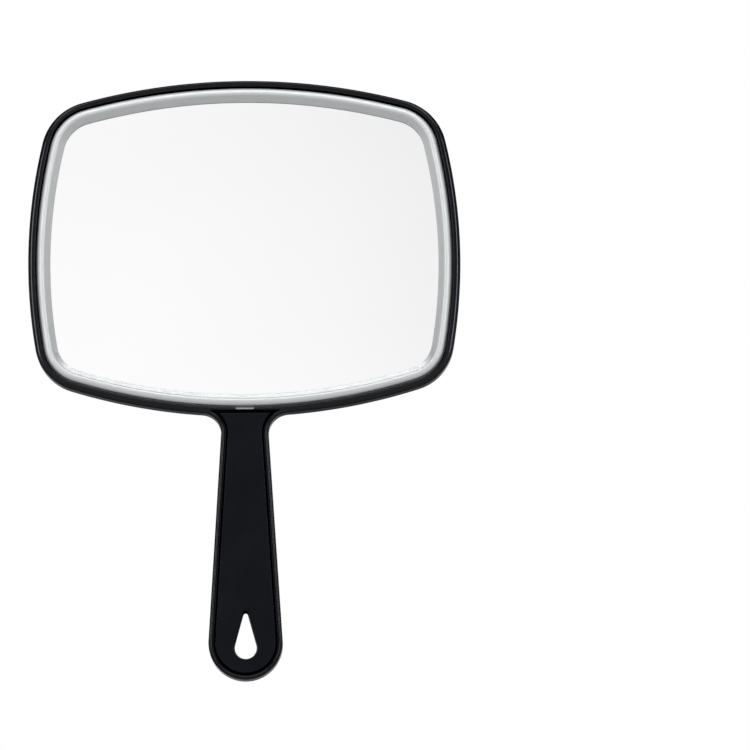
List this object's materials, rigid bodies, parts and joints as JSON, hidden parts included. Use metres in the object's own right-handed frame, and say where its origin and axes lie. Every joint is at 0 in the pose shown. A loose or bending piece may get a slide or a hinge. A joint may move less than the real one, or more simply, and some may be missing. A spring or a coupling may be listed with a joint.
{
  "type": "hand mirror",
  "caption": "Salon hand mirror: a wide rounded paddle with a framed glass and a textured back, on a flat tapered handle with a teardrop hanging hole.",
  "frame": {"origin": "middle of the grip: on the handle's centre line, at half its thickness, midway along it", "axes": "+Z along the handle towards the paddle and the top of the glass, -Y the way the glass faces, +X to the right seen from the front"},
  "size_m": [0.188, 0.0146, 0.2635],
  "materials": {
    "frame_plastic": "semi-gloss black moulded plastic",
    "cover_plastic": "satin blue-black plastic with a moulded scale texture",
    "silver_trim": "satin silver painted plastic",
    "silvered_glass": "flat silvered float glass",
    "panel_plastic": "smooth satin black plastic",
    "foam": "dark grey closed-cell foam"
  },
  "bodies": {
    "root": {"frame_body": "frame_plastic", "back_cover": "cover_plastic", "bezel_ring": "silver_trim", "mirror_glass": "silvered_glass", "handle_front_panel": "panel_plastic", "mounting_pad_upper_left": "foam", "mounting_pad_upper_right": "foam", "mounting_pad_lower_left": "foam", "mounting_pad_lower_right": "foam"}
  },
  "joints": []
}
